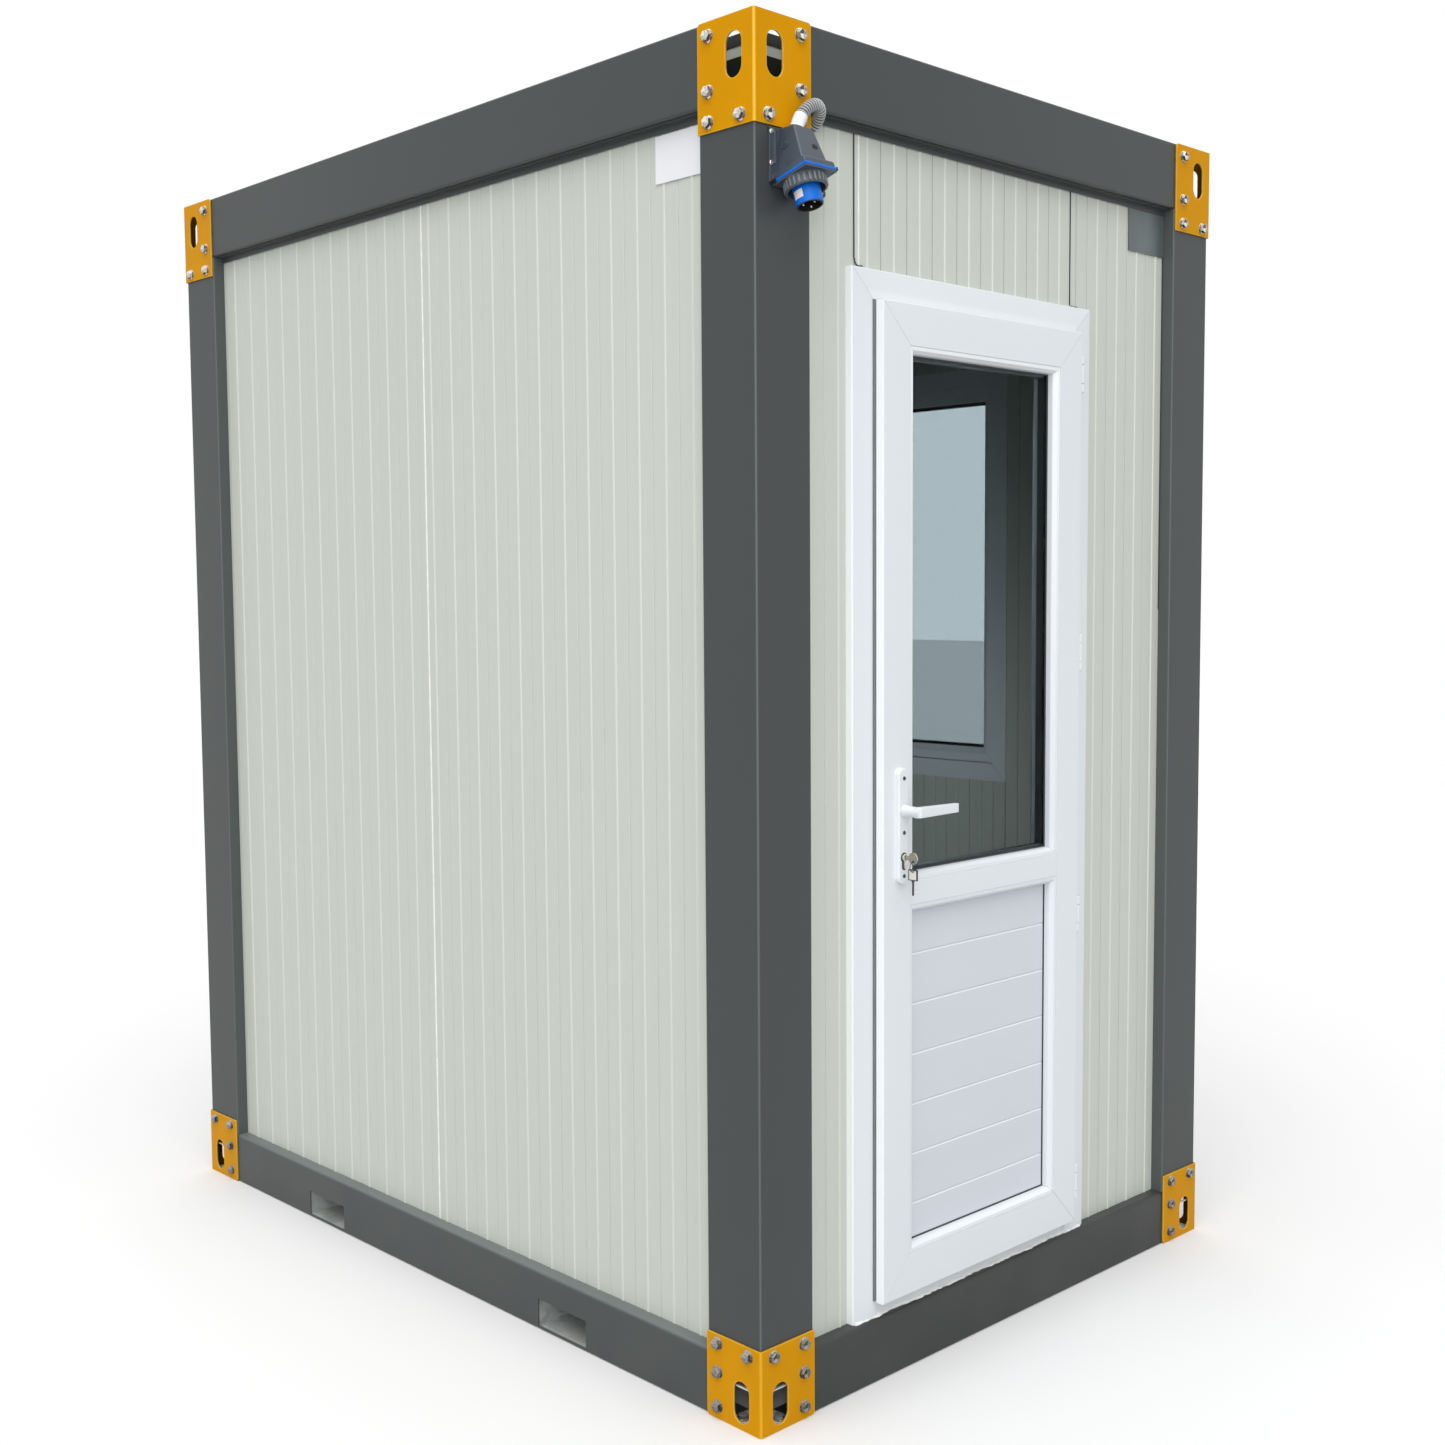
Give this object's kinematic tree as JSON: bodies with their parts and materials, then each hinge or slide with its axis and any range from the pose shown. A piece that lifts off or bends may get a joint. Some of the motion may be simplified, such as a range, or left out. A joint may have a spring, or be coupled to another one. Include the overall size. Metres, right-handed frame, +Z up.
{
  "type": "security booth",
  "caption": "Small steel-framed security booth with yellow corner plates, pale wall panels, a half-glazed white door, a side window and a power inlet.",
  "frame": {"origin": "on the ground, in the middle of the floor frame's underside", "axes": "+Z up, the door in the -Y face, +X to the right seen from the door side"},
  "size_m": [1.49, 2.182, 2.55],
  "materials": {
    "frame_grey": "satin",
    "panel_white": "satin",
    "plate_yellow": "satin",
    "upvc_white": "satin",
    "clear_glass": "clear",
    "zinc_steel": "satin",
    "floor_grey": "matte",
    "inlet_grey": "matte",
    "inlet_blue": "satin",
    "conduit_grey": "matte"
  },
  "bodies": {
    "cabin": {"base_front_beam": "frame_grey", "base_back_beam": "frame_grey", "base_left_beam": "frame_grey", "base_right_beam": "frame_grey", "front_left_post": "frame_grey", "front_right_post": "frame_grey", "back_left_post": "frame_grey", "back_right_post": "frame_grey", "top_front_beam": "frame_grey", "top_back_beam": "frame_grey", "top_left_beam": "frame_grey", "top_right_beam": "frame_grey", "fork_ducts": "zinc_steel", "floor_joist": "zinc_steel", "floor_panel": "floor_grey", "roof_panel": "panel_white", "left_wall_front_panel": "panel_white", "left_wall_back_panel": "panel_white", "back_wall": "panel_white", "right_wall_front": "panel_white", "right_wall_back": "panel_white", "right_wall_under_window": "panel_white", "right_wall_over_window": "panel_white", "front_wall_left": "panel_white", "front_wall_right": "panel_white", "front_wall_over_door": "panel_white", "front_base_plates": "plate_yellow", "back_base_plates": "plate_yellow", "front_top_plates": "plate_yellow", "back_top_plates": "plate_yellow", "door_frame": "upvc_white", "window_frame": "upvc_white", "window_glass": "clear_glass", "inlet_housing": "inlet_grey", "inlet_ring": "inlet_grey", "inlet_gasket": "inlet_blue", "inlet_plug": "inlet_blue", "inlet_conduit": "conduit_grey"},
    "door": {"door_leaf": "upvc_white", "door_glass": "clear_glass", "door_infill": "upvc_white", "door_hinges": "upvc_white", "handle_plates": "upvc_white", "lock_and_keys": "zinc_steel"},
    "lever": {"lever_handles": "upvc_white"}
  },
  "joints": [
    {"name": "door_swing", "type": "hinge", "parent": "cabin", "child": "door", "pos_m": [0.237, -1.05, 1.1235], "axis": [0, 0, 1], "range_deg": [0, 100]},
    {"name": "lever_turn", "type": "hinge", "parent": "door", "child": "lever", "pos_m": [-0.369, -1.024, 1.124], "axis": [0, 1, 0], "range_deg": [0, 40], "stiffness_Nm_per_rad": 1.5}
  ]
}
